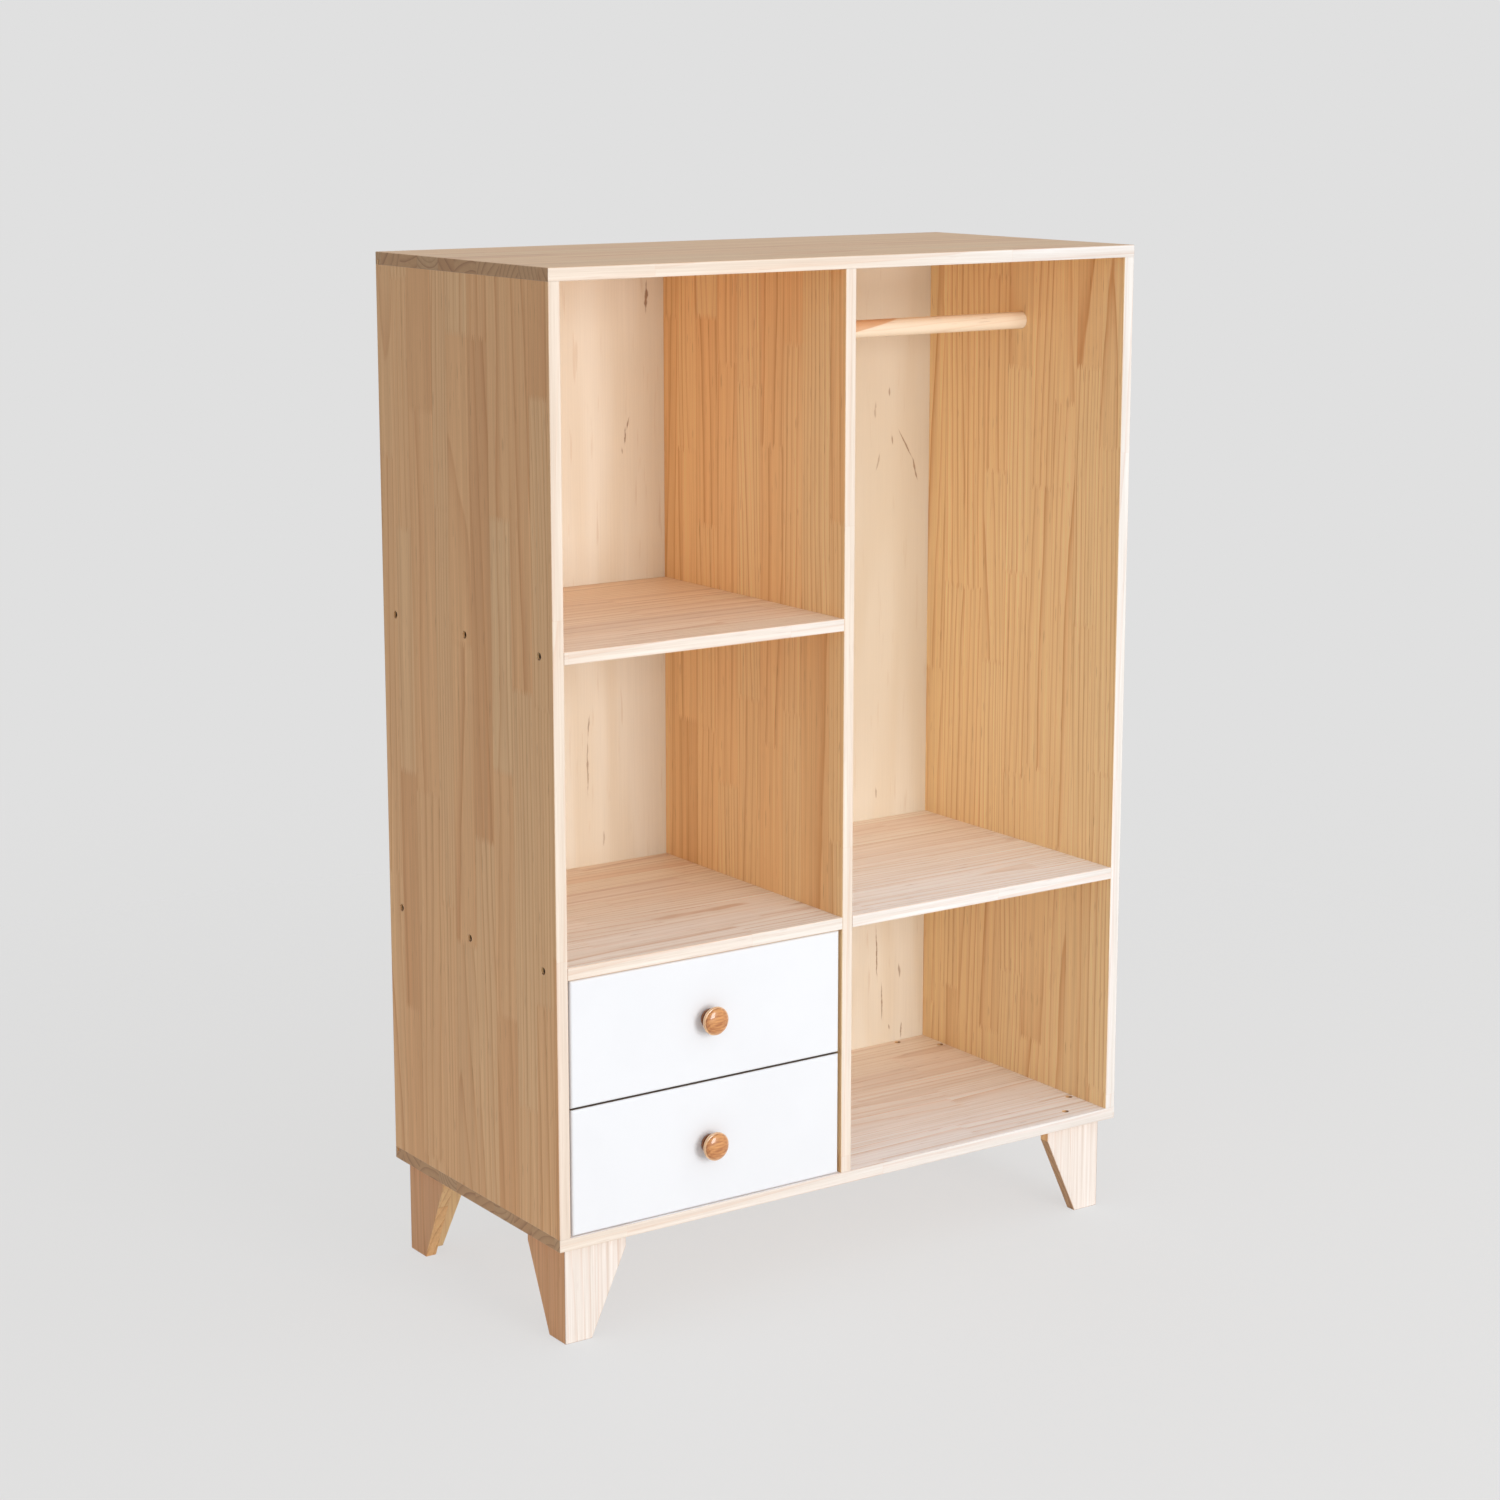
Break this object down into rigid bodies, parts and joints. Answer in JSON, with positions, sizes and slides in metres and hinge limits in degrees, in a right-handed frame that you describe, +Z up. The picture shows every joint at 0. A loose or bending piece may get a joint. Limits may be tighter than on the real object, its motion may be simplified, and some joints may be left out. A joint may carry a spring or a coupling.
{
  "type": "kids wardrobe",
  "caption": "Open children's wardrobe in pale pine with shelves, a hanging rod, white drawers with turned wooden knobs, and tapered corner legs.",
  "frame": {"origin": "on the floor, under the middle of the whole outline", "axes": "+Z up, the front looks towards -Y, +X to the right of someone facing the front"},
  "size_m": [0.85, 0.4206, 1.26],
  "materials": {
    "pine_board": "clear-varnished finger-jointed pine board, satin",
    "pine_plywood": "pale rotary-cut plywood, matt",
    "rod_wood": "turned pale wood, satin",
    "tongue_plywood": "bare plywood",
    "drawer_box_pine": "bare sanded pine",
    "drawer_plywood": "bare plywood",
    "white_paint": "white satin paint on board",
    "varnished_wood": "amber gloss varnish on turned wood",
    "zinc_steel": "bright zinc",
    "slide_steel": "zinc-plated folded sheet"
  },
  "bodies": {
    "carcass": {"top_panel": "pine_board", "bottom_panel": "pine_board", "left_side": "pine_board", "right_side": "pine_board", "divider": "pine_board", "upper_shelf": "pine_board", "drawer_shelf": "pine_board", "right_shelf": "pine_board", "back_panel": "pine_plywood", "hanging_rod": "rod_wood", "top_tongues": "tongue_plywood", "bottom_tongues": "tongue_plywood", "shelf_screws": "zinc_steel", "leg_screws": "zinc_steel", "front_left_leg_front_board": "pine_board", "front_left_leg_side_board": "pine_board", "front_right_leg_front_board": "pine_board", "front_right_leg_side_board": "pine_board", "back_left_leg_back_board": "pine_board", "back_left_leg_side_board": "pine_board", "back_right_leg_back_board": "pine_board", "back_right_leg_side_board": "pine_board", "upper_left_slide_outer": "slide_steel", "upper_right_slide_outer": "slide_steel", "lower_left_slide_outer": "slide_steel", "lower_right_slide_outer": "slide_steel"},
    "upper_drawer": {"upper_drawer_front": "white_paint", "upper_drawer_left_side": "drawer_box_pine", "upper_drawer_right_side": "drawer_box_pine", "upper_drawer_back": "drawer_box_pine", "upper_drawer_bottom": "drawer_plywood", "upper_drawer_knob": "varnished_wood", "upper_drawer_knob_screw": "zinc_steel", "upper_left_slide_inner": "slide_steel", "upper_right_slide_inner": "slide_steel"},
    "upper_slide_middles": {"upper_left_slide_middle": "slide_steel", "upper_right_slide_middle": "slide_steel"},
    "lower_drawer": {"lower_drawer_front": "white_paint", "lower_drawer_left_side": "drawer_box_pine", "lower_drawer_right_side": "drawer_box_pine", "lower_drawer_back": "drawer_box_pine", "lower_drawer_bottom": "drawer_plywood", "lower_drawer_knob": "varnished_wood", "lower_drawer_knob_screw": "zinc_steel", "lower_left_slide_inner": "slide_steel", "lower_right_slide_inner": "slide_steel"},
    "lower_slide_middles": {"lower_left_slide_middle": "slide_steel", "lower_right_slide_middle": "slide_steel"}
  },
  "joints": [
    {"name": "upper_drawer_slide", "type": "slide", "parent": "carcass", "child": "upper_drawer", "axis": [0, -1, 0], "range_m": [0, 0.35]},
    {"name": "upper_middles_slide", "type": "slide", "parent": "carcass", "child": "upper_slide_middles", "axis": [0, -1, 0], "range_m": [0, 0.175]},
    {"name": "lower_drawer_slide", "type": "slide", "parent": "carcass", "child": "lower_drawer", "axis": [0, -1, 0], "range_m": [0, 0.35]},
    {"name": "lower_middles_slide", "type": "slide", "parent": "carcass", "child": "lower_slide_middles", "axis": [0, -1, 0], "range_m": [0, 0.175]}
  ],
  "couplings": [
    {"joint": "upper_middles_slide", "follows": "upper_drawer_slide", "ratio": 0.5},
    {"joint": "lower_middles_slide", "follows": "lower_drawer_slide", "ratio": 0.5}
  ]
}
